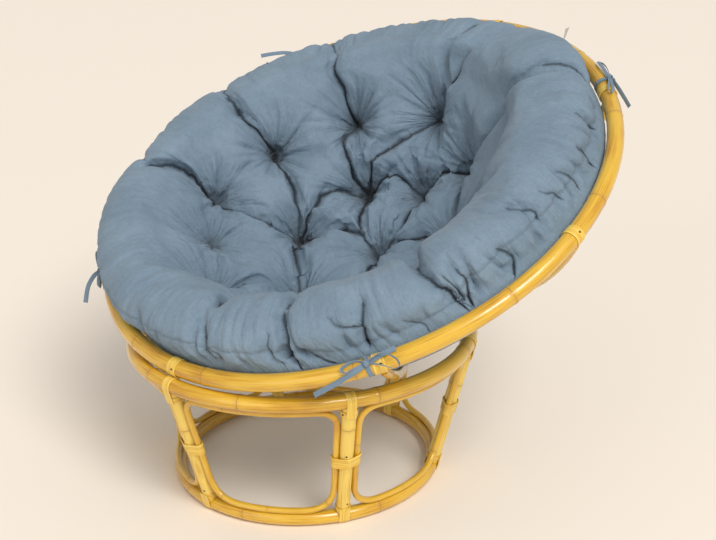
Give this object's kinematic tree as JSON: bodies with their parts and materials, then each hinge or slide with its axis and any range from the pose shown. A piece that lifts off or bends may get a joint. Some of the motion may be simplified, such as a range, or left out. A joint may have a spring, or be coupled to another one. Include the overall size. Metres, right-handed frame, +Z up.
{
  "type": "papasan chair",
  "caption": "Round rattan bowl chair: a bent-pole bowl with a thick tufted cushion tied to its rim, resting tilted on a lashed pole base.",
  "frame": {"origin": "middle of the underside of the whole chair's box, on the floor", "axes": "+Z up, -Y the way the chair faces, which is the low side of the tilted bowl, +X to the right as seen from in front of the chair looking along +Y"},
  "size_m": [1.069, 0.9682, 0.8134],
  "materials": {
    "rattan_pole": "gloss",
    "rattan_peel": "satin",
    "cushion_cotton": "matte",
    "tag_cloth": "matte"
  },
  "bodies": {
    "base": {"base_foot_ring": "rattan_pole", "base_top_ring": "rattan_pole", "post_1": "rattan_pole", "post_2": "rattan_pole", "post_3": "rattan_pole", "post_4": "rattan_pole", "post_5": "rattan_pole", "post_6": "rattan_pole", "hoop_1": "rattan_pole", "hoop_2": "rattan_pole", "hoop_3": "rattan_pole", "hoop_4": "rattan_pole", "hoop_5": "rattan_pole", "hoop_6": "rattan_pole", "mid_binding_1": "rattan_peel", "mid_binding_2": "rattan_peel", "mid_binding_3": "rattan_peel", "mid_binding_4": "rattan_peel", "mid_binding_5": "rattan_peel", "mid_binding_6": "rattan_peel", "top_lashing_1": "rattan_peel", "top_lashing_2": "rattan_peel", "top_lashing_3": "rattan_peel", "top_lashing_4": "rattan_peel", "top_lashing_5": "rattan_peel", "top_lashing_6": "rattan_peel", "foot_lashing_1": "rattan_peel", "foot_lashing_2": "rattan_peel", "foot_lashing_3": "rattan_peel", "foot_lashing_4": "rattan_peel", "foot_lashing_5": "rattan_peel", "foot_lashing_6": "rattan_peel"},
    "bowl": {"bowl_rim": "rattan_pole", "bowl_hub_ring": "rattan_pole", "rib_1": "rattan_pole", "rib_2": "rattan_pole", "rib_3": "rattan_pole", "rib_4": "rattan_pole", "rib_5": "rattan_pole", "rib_6": "rattan_pole", "rib_7": "rattan_pole", "rib_8": "rattan_pole", "rim_binding_1": "rattan_peel", "rim_binding_2": "rattan_peel", "rim_binding_3": "rattan_peel", "rim_binding_4": "rattan_peel", "rim_binding_5": "rattan_peel", "rim_binding_6": "rattan_peel", "rim_binding_7": "rattan_peel", "rim_binding_8": "rattan_peel", "cushion": "cushion_cotton", "cushion_tie_1": "cushion_cotton", "cushion_tie_2": "cushion_cotton", "cushion_tie_3": "cushion_cotton", "cushion_tie_4": "cushion_cotton", "cushion_tag": "tag_cloth"}
  },
  "joints": [
    {"name": "bowl_tilt", "type": "hinge", "parent": "base", "child": "bowl", "pos_m": [0, -0.14241, 0.83911], "axis": [-1, 0, 0], "range_deg": [0, 27.2]}
  ]
}
